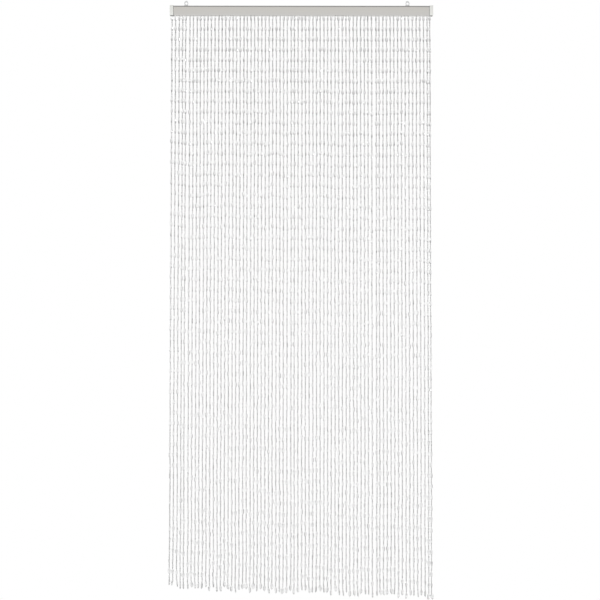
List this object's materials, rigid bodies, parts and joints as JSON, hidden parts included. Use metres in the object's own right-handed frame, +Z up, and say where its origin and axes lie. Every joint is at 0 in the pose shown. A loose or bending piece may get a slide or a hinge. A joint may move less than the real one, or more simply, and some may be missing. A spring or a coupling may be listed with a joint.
{
  "type": "bead curtain with its aluminium hanging rail",
  "caption": "Doorway bead curtain: closely spaced strings of long and small clear beads hanging from a slim rail with pale end caps and hanging loops.",
  "frame": {"origin": "midway between the rail's two ends, on the line through the centres of the two hanging loops' holes", "axes": "+X along the rail to the right as seen from the front, +Z up, -Y the front and +Y the wall side"},
  "size_m": [0.9, 0.0186, 2.03],
  "materials": {
    "rail_aluminium": "satin, finely brushed along its length",
    "cap_plastic": "pale moulded plastic, half matt",
    "loop_plastic": "pale moulded plastic, smooth",
    "clear_beads": "clear, colourless, polished",
    "thread": "thin pale cord"
  },
  "bodies": {
    "root": {"rail": "rail_aluminium", "end_cap_left": "cap_plastic", "end_cap_right": "cap_plastic", "hanging_loop_left": "loop_plastic", "hanging_loop_right": "loop_plastic", "bead_strings": "clear_beads"}
  },
  "joints": []
}
